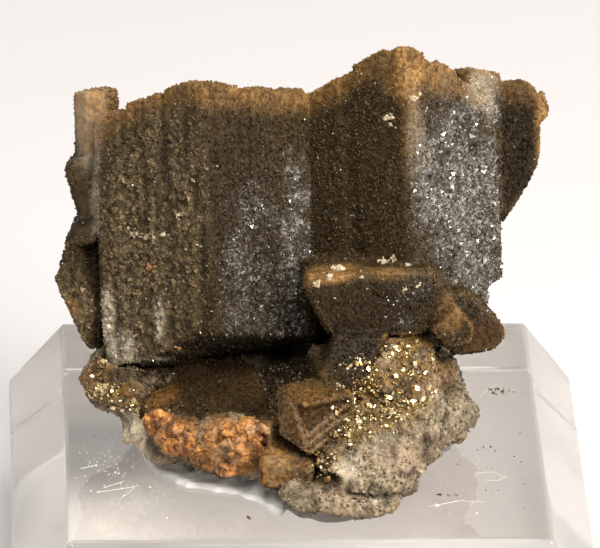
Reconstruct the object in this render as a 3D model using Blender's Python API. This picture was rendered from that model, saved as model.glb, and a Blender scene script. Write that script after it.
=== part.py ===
"""A siderite specimen fixed on a clear display block.

Rhombohedral siderite crystals have grown together on a lump of grey rock. The rock is
fixed with a pad of white putty to a square block of clear plastic with bevelled upper edges.

Units are metres, +Z is up, and the origin is the centre of the block's underside.
The front of the specimen faces -Y. Crystals and lumps of rock are placed in millimetres,
with heights counted from the block's top face.
"""

import math
from collections import namedtuple

import bmesh
import bpy
from mathutils import Vector, noise

MM = 0.001

# The display block.
BLOCK_SIDE = 50.8 * MM
BLOCK_HEIGHT = 19.0 * MM
BEVEL_RUN = 4.7 * MM
BEVEL_DROP = 8.0 * MM
BLOCK_EDGE_WEAR = 0.3 * MM

# Pieces that touch keep this gap.
TOUCH_GAP = 0.3 * MM

# The putty pad lies on the block, and its rim runs out past the foot of the rock.
PUTTY_THICKNESS = 0.8 * MM
PUTTY_SLOPE = 0.6 * MM
PUTTY_POINTS = 48
PUTTY_OUTLINE = (
    (14.8, 0.5), (13.8, 5.0), (10.5, 9.3), (4.0, 11.3), (-4.0, 11.0), (-10.0, 8.5), (-14.0, 4.0),
    (-15.0, -1.0), (-14.0, -5.4), (-11.6, -9.4), (-8.0, -11.8), (-4.6, -14.2), (-1.4, -17.4),
    (2.0, -18.8), (6.0, -17.6), (8.4, -13.6), (11.4, -8.0), (13.8, -4.6),
)

# A crystal is a rhombohedron: one corner, its three edges, and how far its edges are worn, in mm.
Crystal = namedtuple("Crystal", "corner left right rise wear")

CRYSTALS = {
    "left column": Crystal((-8.3, -8.5, 13.7), (-9.3, 6.5, -6.7), (9.7, 6.5, -3.8), (-1.1, 4.5, 21.5), 0.35),
    "right column": Crystal((8.9, -6.0, 19.1), (-10.1, 4.7, -8.4), (7.2, 3.6, -6.0), (-1.2, 5.0, 18.7), 0.35),
    "column edge": Crystal((14.5, -2.9, 14.5), (-2.0, 3.4, -1.4), (2.7, 1.4, 0.9), (-1.0, 4.0, 16.2), 0.35),
    "right twin": Crystal((14.2, -0.6, 21.9), (-2.2, 3.4, -2.1), (3.1, 2.2, -1.6), (-0.4, 3.5, 11.7), 0.3),
    "core": Crystal((-3.0, -1.0, 8.0), (-7.5, 6.5, -2.0), (9.5, 5.5, -2.0), (-0.5, 3.0, 17.0), 0.4),
    "tan plate": Crystal((-19.1, 2.0, 24.2), (-0.9, 2.6, -1.0), (3.1, 1.0, 0.1), (-0.2, 1.6, 6.5), 0.3),
    "left knob": Crystal((-19.5, 0.8, 19.3), (-1.5, 0.6, 5.3), (2.6, 0.8, 1.2), (0.4, 4.0, -1.0), 0.3),
    "left shoulder": Crystal((-19.0, -1.2, 8.0), (-3.1, 1.4, 6.4), (3.4, 3.2, -1.2), (1.4, 0.8, 4.2), 0.4),
    "left step": Crystal((-20.9, 1.0, 17.3), (0.9, 0.3, 2.3), (2.4, -0.4, 0.3), (0.3, 2.6, -0.5), 0.25),
    "blade spur": Crystal((19.9, 7.6, 25.2), (0.2, 1.8, -0.3), (1.4, 0.9, 1.0), (-0.5, 0.6, 1.9), 0.2),
    "slant rhomb": Crystal((0.4, -11.4, 10.6), (1.0, 6.4, -0.9), (4.6, 0.4, -0.3), (1.9, 2.5, 3.3), 0.35),
    "step rhomb": Crystal((-0.2, -15.6, 5.3), (-2.6, 2.8, 0.6), (4.4, 2.2, 0.3), (-0.3, 0.7, 4.5), 0.35),
    "front root": Crystal((0.4, -12.4, 5.6), (-0.9, 4.2, 0.5), (3.6, 0.9, 0.2), (0.5, 0.9, 5.8), 0.3),
    "low rhomb": Crystal((-4.4, -14.9, 1.9), (0.9, 4.0, 0.3), (4.6, -1.3, 0.0), (-0.1, 0.3, 2.7), 0.35),
    "small rhomb": Crystal((-3.5, -12.9, 4.8), (-1.0, 1.2, 0.2), (1.4, 1.4, 0.1), (0.0, 0.3, 2.1), 0.2),
    "ledge": Crystal((-14.3, -7.2, 3.0), (-1.5, 7.8, 1.8), (11.2, -4.2, 1.5), (0.2, 0.3, 2.2), 0.4),
    "back left rhomb": Crystal((-12.0, 8.8, 3.4), (-3.6, -4.0, 1.6), (5.6, -3.2, 1.4), (0.4, 1.2, 7.6), 0.4),
    "back right rhomb": Crystal((8.0, 8.4, 4.2), (-5.0, -3.8, 1.2), (6.0, -4.4, 1.0), (0.8, 0.9, 9.5), 0.4),
    "back rhomb": Crystal((-2.6, 10.4, 9.0), (-3.8, -4.4, 1.4), (4.2, -4.2, 0.8), (-0.5, 1.0, 5.6), 0.4),
}

# The two big columns grew as bundles of parallel slices, which stand a little apart. A slice
# covers a stretch of its column's left or right face, stands proud of it, and runs past its top
# and its foot, in mm.
Slice = namedtuple("Slice", "column side start end proud above below")

SLICES = (
    Slice("left column", "left", 0.08, 0.33, 0.20, 0.70, -0.3),
    Slice("left column", "left", 0.36, 0.50, 0.35, 0.55, 0.55),
    Slice("left column", "left", 0.52, 0.68, 0.15, 0.62, 0.75),
    Slice("left column", "left", 0.72, 0.95, 0.28, 0.30, 0.30),
    Slice("left column", "right", 0.10, 0.34, 0.18, 0.20, 0.20),
    Slice("left column", "right", 0.40, 0.66, 0.28, 0.12, 0.10),
    Slice("left column", "right", 0.72, 0.95, 0.15, 0.25, -0.2),
    Slice("right column", "left", 0.12, 0.40, 0.15, 0.25, 0.10),
    Slice("right column", "left", 0.48, 0.80, 0.24, -0.2, 0.15),
    Slice("right column", "right", 0.08, 0.30, 0.20, 0.15, -0.9),
    Slice("right column", "right", 0.42, 0.70, 0.26, 0.20, 0.40),
)

SLICE_DEPTH = 0.35
SLICE_WEAR = 0.25

# A slab is a flat crystal seen on its broad face: an outline of (x, z) points in mm, the plane
# that the face lies in (its y at the origin, and how y grows with x and with z), and the edge
# that runs back from it.
Slab = namedtuple("Slab", "outline front turn lean depth wear")

SLABS = {
    "middle rhomb": Slab(
        (
            (-0.7, 18.7), (0.2, 16.1), (1.7, 13.4), (8.8, 12.9), (10.7, 13.1), (12.1, 13.9),
            (12.8, 15.1), (12.2, 17.0), (10.8, 19.0), (4.6, 19.2),
        ),
        -9.5, 0.14, 0.05, (0.2, 6.6, -0.8), 0.45,
    ),
    "right rhomb": Slab(
        (
            (12.1, 15.7), (13.3, 16.4), (14.9, 15.2), (16.7, 13.0), (17.4, 11.5), (16.3, 10.3),
            (12.8, 10.3), (12.0, 12.0),
        ),
        -12.0, 0.35, 0.1, (-1.6, 5.5, -0.8), 0.3,
    ),
    "tucked rhomb": Slab(
        ((12.6, 15.9), (14.4, 13.6), (14.0, 12.0), (12.0, 12.0), (10.6, 13.8)),
        -13.0, 0.3, 0.1, (-1.0, 4.0, -0.6), 0.2,
    ),
    "blade": Slab(
        (
            (14.5, 30.3), (18.0, 30.2), (19.6, 30.0), (20.2, 29.4), (20.6, 27.4), (20.7, 23.9),
            (20.4, 22.4), (19.5, 21.0), (18.4, 19.4), (17.4, 18.1), (14.5, 18.6),
        ),
        -7.0, 0.45, 0.18, (-0.7, 2.3, -0.7), 0.3,
    ),
}

# Pushing an outline's corners out by this much more than its sides keeps the gap at the sides.
OUTLINE_GROWTH = 1.3

# Lumps that the rock is made of: centre and half sizes in mm.
Lump = namedtuple("Lump", "centre reach")

ROCK_HEART = (0.5, -1.5, 3.0)
LUMPS = (
    Lump((0.0, 1.0, 3.5), (13.5, 9.5, 4.5)),
    Lump((0.0, 5.0, 8.0), (11.5, 5.5, 8.0)),
    Lump((-15.8, -1.8, 6.0), (3.3, 4.4, 2.6)),
    Lump((-12.0, -3.0, 3.0), (3.8, 5.0, 3.6)),
    Lump((-13.4, -5.4, 3.8), (2.5, 2.8, 2.2)),
    Lump((-11.0, -7.0, 3.4), (3.6, 3.4, 3.0)),
    Lump((-6.2, -9.6, 3.4), (3.6, 3.6, 3.6)),
    Lump((7.3, -7.0, 5.0), (5.1, 5.4, 7.8)),
    Lump((4.9, -13.4, 2.8), (4.7, 5.8, 5.6)),
    Lump((2.2, -14.6, 1.4), (5.2, 5.6, 2.6)),
    Lump((10.4, -3.6, 4.0), (4.1, 5.0, 5.2)),
)
ROCK_DETAIL = 5

# The rock's unevenness: how often it goes in and out, and by what share of its reach.
ROCK_WAVES = ((4.0, 0.08), (11.0, 0.05))

# The crystal inside the big columns that the others are joined to.
SEED = Crystal((-1.0, 2.0, 9.0), (-3.0, 2.6, -0.8), (3.4, 2.2, -0.8), (-0.3, 1.5, 14.0), 0.3)


def main():
    clear_scene()
    make_display_block()
    make_mounting_putty()
    make_siderite_crystals()
    make_matrix()


def clear_scene():
    for obj in list(bpy.data.objects):
        bpy.data.objects.remove(obj)


def make_material(name, colour, roughness, transmission=0.0, ior=1.5):
    material = bpy.data.materials.new(name)
    material.use_nodes = True
    shader = material.node_tree.nodes["Principled BSDF"]
    shader.inputs["Base Color"].default_value = (*colour, 1.0)
    shader.inputs["Roughness"].default_value = roughness
    shader.inputs["Metallic"].default_value = 0.0
    shader.inputs["Transmission Weight"].default_value = transmission
    shader.inputs["IOR"].default_value = ior
    return material


def add_object(name, shape, material=None):
    """Turns a bmesh into an object of the scene."""
    bmesh.ops.recalc_face_normals(shape, faces=shape.faces)
    mesh = bpy.data.meshes.new(name)
    shape.to_mesh(mesh)
    shape.free()
    obj = bpy.data.objects.new(name, mesh)
    bpy.context.scene.collection.objects.link(obj)
    if material:
        mesh.materials.append(material)
    return obj


def on_block(point):
    """A place given in mm above the block's top face, in metres from the origin."""
    return Vector(point) * MM + Vector((0.0, 0.0, BLOCK_HEIGHT))


def make_display_block():
    """A square prism whose four upper edges are cut back in wide bevels."""
    half = BLOCK_SIDE / 2
    rings = (
        (half, 0.0),
        (half, BLOCK_HEIGHT - BEVEL_DROP),
        (half - BEVEL_RUN, BLOCK_HEIGHT),
    )
    shape = bmesh.new()
    loops = [square_ring(shape, reach, height) for reach, height in rings]
    skin_rings(shape, loops)
    bmesh.ops.bevel(shape, geom=shape.edges[:], offset=BLOCK_EDGE_WEAR, segments=1, affect="EDGES")
    material = make_material("clear_plastic", (0.93, 0.93, 0.96), 0.05, transmission=1.0, ior=1.49)
    return add_object("display_block", shape, material)


def square_ring(shape, reach, height):
    corners = ((-reach, -reach), (reach, -reach), (reach, reach), (-reach, reach))
    return [shape.verts.new((x, y, height)) for x, y in corners]


def skin_rings(shape, loops):
    """Closes a stack of equal rings of points: a floor, the walls between them, and a roof."""
    faces = [shape.faces.new(reversed(loops[0]))]
    for lower, upper in zip(loops, loops[1:]):
        for index in range(len(lower)):
            following = (index + 1) % len(lower)
            faces.append(shape.faces.new((lower[index], lower[following], upper[following], upper[index])))
    faces.append(shape.faces.new(loops[-1]))
    return faces


def make_mounting_putty():
    """A flat pad with an uneven outline and a sloping rim."""
    outline = smooth_outline(PUTTY_OUTLINE, PUTTY_POINTS)
    base = BLOCK_HEIGHT + TOUCH_GAP
    shape = bmesh.new()
    wide = [shape.verts.new((x, y, base)) for x, y in outline]
    centre = sum((Vector(point) for point in outline), Vector((0.0, 0.0))) / len(outline)
    narrow = []
    for point in outline:
        inward = (centre - Vector(point)).normalized() * PUTTY_SLOPE
        narrow.append(shape.verts.new((point[0] + inward.x, point[1] + inward.y, base + PUTTY_THICKNESS)))
    skin_rings(shape, [wide, narrow])
    material = make_material("white_putty", (0.80, 0.79, 0.80), 0.45)
    return add_object("mounting_putty", shape, material)


def smooth_outline(corners, count):
    """Points in metres on a closed curve through the corners, which are in mm."""
    points = []
    for step in range(count):
        place = step * len(corners) / count
        index = int(place)
        part = place - index
        before, start, end, after = (Vector(corners[(index + k) % len(corners)]) for k in (-1, 0, 1, 2))
        bend = 2 * before - 5 * start + 4 * end - after
        twist = 3 * start - before - 3 * end + after
        point = start + 0.5 * part * (end - before + part * (bend + part * twist))
        points.append(tuple(point * MM))
    return points


def add_crystal(shape, crystal, growth=0.0):
    """Adds a rhombohedron to a bmesh. Growth pushes all its faces out."""
    edges = [Vector(edge) * MM for edge in (crystal.left, crystal.right, crystal.rise)]
    corner = on_block(crystal.corner)
    grown = []
    for index, edge in enumerate(edges):
        across = edges[(index + 1) % 3].cross(edges[(index + 2) % 3]).normalized()
        share = growth / abs(edge.dot(across))
        corner = corner - edge * share
        grown.append(edge * (1 + 2 * share))
    left, right, rise = grown
    floor = [corner, corner + right, corner + right + left, corner + left]
    add_prism(shape, floor, rise, crystal.wear * MM)


def add_slab(shape, slab, growth=0.0):
    """Adds a slab crystal to a bmesh. Growth pushes all its faces out."""
    middle = sum((Vector(point) for point in slab.outline), Vector((0.0, 0.0))) / len(slab.outline)
    depth = Vector(slab.depth) * MM
    face = []
    for x, z in slab.outline:
        outward = (Vector((x, z)) - middle).normalized() * growth * OUTLINE_GROWTH
        place = on_block((x, slab.front + slab.turn * x + slab.lean * z, z))
        place += Vector((outward.x, slab.turn * outward.x + slab.lean * outward.y, outward.y))
        face.append(place - depth.normalized() * growth)
    add_prism(shape, face, depth + 2 * depth.normalized() * growth, slab.wear * MM)


def add_prism(shape, face, run, wear):
    """Adds the solid between a flat outline and its copy at the end of the run, with worn edges."""
    loops = [[shape.verts.new(point + lift) for point in face] for lift in (Vector(), run)]
    edges = list({edge for side in skin_rings(shape, loops) for edge in side.edges})
    bmesh.ops.bevel(shape, geom=edges, offset=wear, segments=1, affect="EDGES", clamp_overlap=True)


def slice_crystal(piece):
    """The crystal that a slice of a column stands for."""
    column = CRYSTALS[piece.column]
    corner = Vector(column.corner)
    left = Vector(column.left)
    right = Vector(column.right)
    rise = Vector(column.rise)
    foot = rise.normalized() * piece.below
    lift = rise + rise.normalized() * (piece.above + piece.below)
    if piece.side == "left":
        corner += left * piece.start - right.normalized() * piece.proud - foot
        return Crystal(corner, left * (piece.end - piece.start), right * SLICE_DEPTH, lift, SLICE_WEAR)
    corner += right * piece.start - left.normalized() * piece.proud - foot
    return Crystal(corner, left * SLICE_DEPTH, right * (piece.end - piece.start), lift, SLICE_WEAR)


def grow_crystals(growth=0.0):
    """One bmesh with every crystal as a closed shell of its own."""
    shape = bmesh.new()
    for crystal in CRYSTALS.values():
        add_crystal(shape, crystal, growth)
    for piece in SLICES:
        add_crystal(shape, slice_crystal(piece), growth)
    for slab in SLABS.values():
        add_slab(shape, slab, growth)
    return shape


def make_siderite_crystals():
    """All the crystals, grown together in one solid."""
    material = make_material("siderite", (0.16, 0.11, 0.06), 0.45)
    crystals = add_object("siderite_crystals", grow_crystals(), material)
    seed = bmesh.new()
    add_crystal(seed, SEED)
    join(crystals, add_object("seed_crystal", seed), "UNION")
    return crystals


def make_matrix():
    """A rough rock with a flat foot, cut back wherever a crystal stands in it."""
    heart = on_block(ROCK_HEART)
    foot = BLOCK_HEIGHT + TOUCH_GAP + PUTTY_THICKNESS + TOUCH_GAP
    shape = bmesh.new()
    bmesh.ops.create_icosphere(shape, subdivisions=ROCK_DETAIL, radius=1.0)
    for vert in shape.verts:
        direction = vert.co.normalized()
        unevenness = sum(share * noise.noise(direction * often) for often, share in ROCK_WAVES)
        reach = rock_reach(direction) * (1 + unevenness)
        if direction.z < 0:
            reach = min(reach, (foot - heart.z) / direction.z)
        vert.co = heart + direction * reach
    material = make_material("grey_rock", (0.35, 0.33, 0.30), 0.9)
    matrix = add_object("matrix", shape, material)
    clearance = grow_crystals(TOUCH_GAP)
    join(matrix, add_object("crystal_clearance", clearance), "DIFFERENCE")
    return matrix


def rock_reach(direction):
    """How far the rock runs from its heart in one direction: out of the lump that ends last."""
    reach = 0.0
    for lump in LUMPS:
        scale = Vector(lump.reach)
        start = Vector(ROCK_HEART) - Vector(lump.centre)
        start = Vector((start.x / scale.x, start.y / scale.y, start.z / scale.z))
        step = Vector((direction.x / scale.x, direction.y / scale.y, direction.z / scale.z))
        inside = start.dot(step) ** 2 - step.length_squared * (start.length_squared - 1)
        if inside > 0:
            reach = max(reach, (math.sqrt(inside) - start.dot(step)) / step.length_squared)
    return reach * MM


def join(target, other, operation):
    """Joins or cuts one object with another, which is then only a guide."""
    modifier = target.modifiers.new(other.name, "BOOLEAN")
    modifier.operation = operation
    modifier.solver = "EXACT"
    modifier.use_self = True
    modifier.object = other
    other.hide_render = True
    other.display_type = "WIRE"


main()
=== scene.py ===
"""The looks of a siderite specimen on its clear display block.

The dark crystals are covered with a frosting of small crystals that all stand the same way, so
that a face glints as a whole. The rock at their foot is granular, with an orange crust and brassy
crystals on it. White putty holds it on a block of clear plastic.

Places are in millimetres from the centre of the block's top face, with +Z up and the front of the
specimen towards -Y.
"""

import math

import bmesh
import bpy
import numpy as np
from mathutils import Matrix, Vector
from mathutils.bvhtree import BVHTree


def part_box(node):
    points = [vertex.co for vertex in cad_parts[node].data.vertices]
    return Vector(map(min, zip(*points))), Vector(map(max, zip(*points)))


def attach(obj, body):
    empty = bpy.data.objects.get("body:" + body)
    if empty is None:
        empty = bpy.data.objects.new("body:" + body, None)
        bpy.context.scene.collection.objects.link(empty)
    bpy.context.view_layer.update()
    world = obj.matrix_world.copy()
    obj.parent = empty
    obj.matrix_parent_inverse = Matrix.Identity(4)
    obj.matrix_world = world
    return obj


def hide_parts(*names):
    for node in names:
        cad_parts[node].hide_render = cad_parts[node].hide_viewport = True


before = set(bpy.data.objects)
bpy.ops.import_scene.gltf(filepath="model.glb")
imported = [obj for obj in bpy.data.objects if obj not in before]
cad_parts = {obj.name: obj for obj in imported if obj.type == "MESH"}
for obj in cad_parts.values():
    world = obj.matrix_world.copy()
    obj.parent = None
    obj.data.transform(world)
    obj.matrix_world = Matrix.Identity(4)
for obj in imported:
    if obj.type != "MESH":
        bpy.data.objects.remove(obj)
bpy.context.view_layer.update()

MM = 0.001

# The block: how far its bevels run inwards and down, half its width, its underside, and the signs of
# a square's corners. LIFT is the way from the frame's origin to its top face, in metres.
BEVEL_RUN = 4.7
BEVEL_DROP = 8.0
_, BLOCK_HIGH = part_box("display_block")
BLOCK_HALF = BLOCK_HIGH.x / MM
FOOT = -BLOCK_HIGH.z / MM
SQUARE = ((-1, -1), (1, -1), (1, 1), (-1, 1))
LIFT = np.array((0.0, 0.0, BLOCK_HIGH.z))

# The camera that took the photograph: its turns about its target in degrees, from looking straight
# down, and its distance, target, lens and sensor in millimetres.
CAMERA_TURNS = ((-2.73, "Z"), (90.0 - 26.39, "X"), (1.1, "Z"))
CAMERA_DISTANCE = 763.4
CAMERA_TARGET = (-0.4586, 0.0, 15.116)
CAMERA_LENS = 527.8
CAMERA_SENSOR = 36.0

# The direction in which the big crystals rise, the ways that their right and left faces look, and
# the direction of the edges of their top faces.
RISE = np.array((-0.052, 0.214, 0.975))
RIGHT_FACE = np.array((0.59, -0.775, 0.225))
LEFT_FACE = np.array((-0.6, -0.785, 0.15))
TOP_EDGE = np.array((-0.7, 0.7, -0.1))

# How finely the crystals, the rock and the orange knobs are modelled. Corners of the CAD closer
# together than WELD, in metres, are joined.
CRYSTAL_VOXEL = 0.18
ROCK_VOXEL = 0.17
CRUST_VOXEL = 0.16
CRYSTAL_TRIANGLES = 180000
ROCK_TRIANGLES = 130000
WELD = 1e-6

# How widely the crystals' edges are looked for, and how far a point stands out there, in mm.
EDGE_ROUNDS = 8
EDGE_RANGE = (0.03, 0.1)

# The frosting of small crystals, of which only the corners stand out, as three-sided pyramids: how
# many there are on a square millimetre, what share of them at the back, how far their feet reach,
# how much they lean, and how many of them make one piece.
GRAINS_PER_MM2 = 38.0
BACK_SHARE = 0.5
GRAIN_REACH = 0.165
GRAIN_LEAN = 0.28
GRAINS_PER_PIECE = 48000

# Grains and brassy crystals on a square millimetre of the rock, their sizes and the grains' lean.
ROCK_GRAINS_PER_MM2 = 15.0
ROCK_GRAIN_REACH = 0.13
ROCK_GRAIN_LEAN = 0.6
BRASS_PER_MM2 = 24.0
BRASS_SIZE = 0.13

# How far below its top a point of a crystal lies is probed from this depth inside the crystal, up
# to this length. Points from which no top is met count as this far below it.
PROBE_DEPTH = 0.5
PROBE_LENGTH = 4.0
FAR_BELOW = 9.0

# The angle of siderite's faces, and the corners of a rhombohedron's and a pyramid's faces.
RHOMB_ANGLE = math.radians(105.0)
RHOMB_FACES = np.array((
    (0, 1, 3, 2), (4, 6, 7, 5), (0, 4, 5, 1), (1, 5, 7, 3), (3, 7, 6, 2), (2, 6, 4, 0),
))
PYRAMID_FACES = np.array(((0, 1, 3), (1, 2, 3), (2, 0, 3), (0, 2, 1)))

# The patches below are ellipsoids in which something shows: centre, half sizes and strength. Each
# shows in full up to the second of these shares of its size, and not at all past the first.
PATCH_RIM = (1.15, 0.45)

# Where the crystals are painted a warm glow that stands for light shining through them, with
# some subsurface scattering there as well.
GLOW = (
    ((-18.8, 3.5, 29.0), (2.4, 3.5, 4.0), 1.0),
    ((8.2, -1.0, 36.3), (2.8, 3.2, 4.2), 1.2),
    ((12.4, 0.8, 33.6), (4.4, 3.0, 1.9), 0.75),
    ((1.6, -7.2, 19.0), (3.4, 3.0, 0.9), 1.0),
    ((6.4, -7.4, 18.9), (4.0, 1.0, 0.8), 0.5),
    ((12.2, -7.9, 15.4), (1.5, 1.6, 2.4), 0.7),
    ((17.8, -4.9, 11.2), (1.1, 1.4, 1.4), 0.9),
    ((21.2, 7.0, 26.0), (1.3, 2.6, 6.5), 1.0),
    ((19.2, 5.4, 19.0), (1.6, 2.0, 1.6), 0.6),
    ((-20.3, -0.2, 12.0), (1.0, 1.2, 1.0), 0.8),
)

# Where the crystals' edges are painted the same glow of light shining through them.
EDGED = (
    ((6.0, -8.0, 16.0), (8.5, 4.5, 4.5), 0.85),
    ((15.0, -5.5, 13.0), (4.0, 4.0, 4.5), 0.55),
    ((0.5, -13.6, 7.5), (5.5, 5.0, 4.5), 1.0),
    ((-2.5, -14.6, 3.5), (4.0, 4.0, 2.6), 0.8),
    ((8.6, -3.5, 27.0), (1.8, 5.0, 10.0), 0.5),
    ((-17.6, -1.5, 19.0), (2.4, 3.0, 13.0), 0.35),
)

# Where the crystals' right faces get a painted silvery sheen that stands for light glinting off
# them, where they get that sheen on every side, and where they look pale or olive.
PAINTED_SHEEN = (
    ((13.4, -2.0, 23.5), (6.0, 6.0, 12.0), 1.0),
    ((15.2, -2.4, 15.6), (3.4, 3.4, 4.4), 1.0),
    ((15.2, 2.5, 30.8), (2.8, 3.2, 4.8), 1.1),
    ((-0.8, -1.5, 19.0), (2.2, 4.5, 10.5), 0.8),
    ((-4.2, -4.5, 17.0), (5.2, 6.0, 12.5), 0.56),
    ((-1.6, -3.0, 11.6), (2.4, 3.0, 2.6), 0.85),
)

PAINTED_SHEEN_ALL_ROUND = (
    ((9.0, -7.4, 17.4), (2.4, 1.4, 1.8), 0.5),
    ((8.6, -7.6, 14.2), (1.3, 1.2, 0.8), 0.6),
)

PALE = (
    ((-17.2, -1.8, 12.0), (1.0, 1.8, 3.0), 1.0),
    ((-15.8, -3.2, 9.0), (2.0, 2.2, 2.6), 1.0),
    ((-12.8, -5.2, 13.4), (0.6, 1.4, 2.4), 0.85),
    ((-12.4, -5.4, 9.0), (1.6, 1.6, 1.4), 0.5),
    ((-18.2, 0.6, 22.5), (0.45, 2.2, 7.5), 0.6),
    ((15.4, 2.8, 31.4), (2.0, 2.0, 2.2), 0.4),
    ((9.1, -2.2, 26.5), (1.1, 1.8, 9.0), 0.18),
    ((-18.8, 3.5, 27.5), (2.4, 3.5, 4.6), 0.26),
)

OLIVE = (
    ((-13.5, -3.0, 20.0), (7.5, 7.0, 16.0), 1.0),
    ((-19.5, 0.0, 12.0), (3.0, 3.0, 8.0), 0.8),
)

# Where the crystals are darker than elsewhere: painted shade in the cavity under the left crystal
# and in other recesses and shadowed places, and in places their own darker brown.
DARK_AND_SHADE = (
    ((18.4, 6.4, 25.0), (2.2, 4.0, 9.0), 0.85),
    ((5.0, -7.6, 15.4), (8.0, 3.0, 3.6), 0.5),
    ((15.4, -5.2, 12.4), (3.4, 3.0, 3.6), 0.5),
    ((-5.0, -5.5, 20.0), (5.0, 6.0, 16.0), 0.4),
    ((3.5, -9.3, 12.8), (3.8, 3.0, 3.0), 0.85),
    ((-4.0, -2.5, 8.6), (8.0, 3.5, 2.6), 1.0),
    ((-20.0, 1.0, 18.0), (1.8, 3.0, 6.0), 0.55),
    ((-10.6, -4.0, 30.0), (0.4, 1.6, 3.4), 0.7),
    ((-9.7, -5.3, 25.5), (0.4, 1.6, 3.2), 0.8),
    ((-9.0, -6.6, 20.8), (0.4, 1.6, 3.2), 0.8),
    ((-8.4, -7.6, 16.2), (0.4, 1.6, 2.8), 0.7),
    ((-7.0, -6.0, 7.0), (10.0, 5.5, 1.8), 0.45),
)

# The warm brown of the lowest crystals, and of the edge between the tallest crystal's two faces.
TAN = (
    ((-18.8, 3.5, 28.5), (2.6, 3.5, 3.0), 1.0),
    ((0.0, -13.5, 8.0), (4.5, 4.0, 3.6), 0.62),
    ((-3.4, -14.0, 3.5), (4.4, 3.5, 2.6), 1.0),
    ((16.0, -5.0, 11.6), (3.4, 3.0, 2.8), 0.3),
    ((8.8, -2.0, 27.0), (1.2, 2.0, 9.5), 0.45),
    ((-7.0, -6.0, 7.0), (10.0, 5.0, 1.6), 0.14),
    ((-13.0, -5.4, 6.2), (2.6, 2.2, 1.6), 0.8),
)

# Where grooves run along the crystals' rise.
RIBBED = (
    ((-9.2, -6.4, 19.0), (2.6, 3.0, 14.0), 1.0),
    ((-14.0, -4.0, 10.5), (4.5, 4.0, 4.5), 0.9),
    ((16.0, 1.5, 22.0), (2.6, 4.0, 12.0), 0.6),
)

# Where the crystals' faces are bare or nearly so.
BARE = (
    ((-18.8, 3.5, 27.5), (2.4, 3.5, 5.0), 1.0),
    ((-19.6, 1.5, 21.0), (2.4, 3.0, 5.0), 0.9),
    ((3.0, -9.0, 12.0), (4.0, 4.0, 2.8), 0.45),
    ((0.0, -13.5, 7.5), (4.5, 4.0, 4.0), 0.6),
    ((-3.0, -14.0, 3.5), (4.5, 3.5, 2.5), 0.6),
    ((5.0, -6.5, 19.3), (9.0, 4.5, 0.9), 0.9),
    ((15.8, -5.2, 12.4), (3.4, 3.0, 3.2), 0.35),
)

# Where the rock is dark brown and frosted, painted nearly black as shade, hollowed and painted dark
# as shade, stained brown or golden, cracked with painted shade in the crack, has an orange crust,
# looks yellowish, or carries brassy crystals.
UMBER = (
    ((-8.6, -6.6, 6.6), (7.4, 3.6, 1.9), 1.0),
    ((-13.2, -3.0, 7.8), (3.4, 2.8, 1.5), 0.8),
    ((-1.2, -6.0, 6.0), (4.6, 6.0, 4.4), 1.0),
    ((-8.0, -13.4, 1.8), (5.0, 2.0, 1.0), 0.6),
)
SHADE = (
    ((-5.0, -2.0, 7.6), (10.0, 3.4, 2.6), 1.0),
    ((-18.1, -3.5, 8.0), (0.9, 0.9, 0.9), 1.0),
    ((0.8, -15.4, 3.6), (1.3, 1.8, 1.0), 1.0),
    ((-0.2, -16.6, 2.8), (0.9, 1.4, 0.8), 1.0),
)
HOLES = (
    ((1.1, -17.2, 3.9), (1.7, 2.0, 1.0), 1.0),
    ((-18.3, -3.9, 7.9), (0.9, 1.4, 0.8), 1.0),
)
STAIN = (
    ((-16.0, -4.4, 7.0), (5.4, 4.8, 3.0), 1.0),
    ((-9.0, -7.5, 6.2), (9.0, 4.0, 2.2), 1.0),
    ((12.4, -6.0, 9.0), (2.4, 4.0, 3.0), 0.8),
    ((1.0, -15.6, 4.6), (2.8, 2.4, 2.2), 0.8),
    ((4.0, -17.8, 1.4), (7.5, 3.4, 1.5), 0.4),
)
GOLD = (
    ((6.0, -11.5, 9.6), (6.2, 6.2, 3.8), 1.0),
    ((8.6, -8.4, 11.4), (4.6, 4.0, 3.4), 1.0),
    ((3.2, -14.8, 7.4), (2.8, 2.6, 2.4), 1.0),
)
CRACK = (
    ((5.6, -18.0, 3.2), (3.8, 2.6, 1.6), 1.0),
)
CRUST = (
    ((-12.9, -8.7, 5.0), (2.0, 1.6, 1.3), 1.0),
    ((-11.0, -10.3, 4.3), (2.4, 1.8, 1.7), 1.0),
    ((-9.0, -11.6, 3.4), (2.2, 1.8, 1.5), 1.0),
    ((-7.2, -11.6, 4.9), (2.4, 2.0, 2.2), 1.0),
    ((-5.0, -11.9, 5.4), (2.0, 2.0, 2.0), 1.0),
    ((-5.6, -12.9, 3.4), (2.2, 1.6, 1.4), 1.0),
)
YELLOW = (
    ((-14.2, -6.8, 3.0), (3.0, 3.2, 2.2), 1.0),
    ((-3.0, -13.0, 2.4), (3.0, 3.0, 1.8), 0.4),
    ((3.0, -17.2, 5.0), (1.4, 1.6, 1.1), 0.7),
    ((-18.9, -2.6, 8.8), (0.8, 1.4, 1.0), 0.7),
)
BRASS = (
    ((6.4, -11.4, 9.6), (4.6, 5.6, 3.6), 1.0),
    ((3.6, -14.4, 7.8), (3.0, 2.6, 2.0), 1.0),
    ((8.6, -8.8, 11.0), (3.0, 3.0, 2.2), 0.5),
    ((1.4, -15.8, 5.0), (1.7, 1.8, 1.8), 0.7),
    ((-18.3, -3.8, 7.6), (1.4, 2.0, 2.0), 0.9),
    ((-17.4, -5.2, 6.2), (1.8, 1.6, 1.8), 1.0),
    ((-16.0, -5.6, 5.6), (2.2, 1.4, 1.2), 1.0),
    ((-14.6, -6.4, 5.2), (1.8, 1.2, 0.9), 0.7),
)

# The crack's height at the middle of the block, and how it falls to the right.
CRACK_HEIGHT = 3.9
CRACK_SLOPE = 0.14

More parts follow.
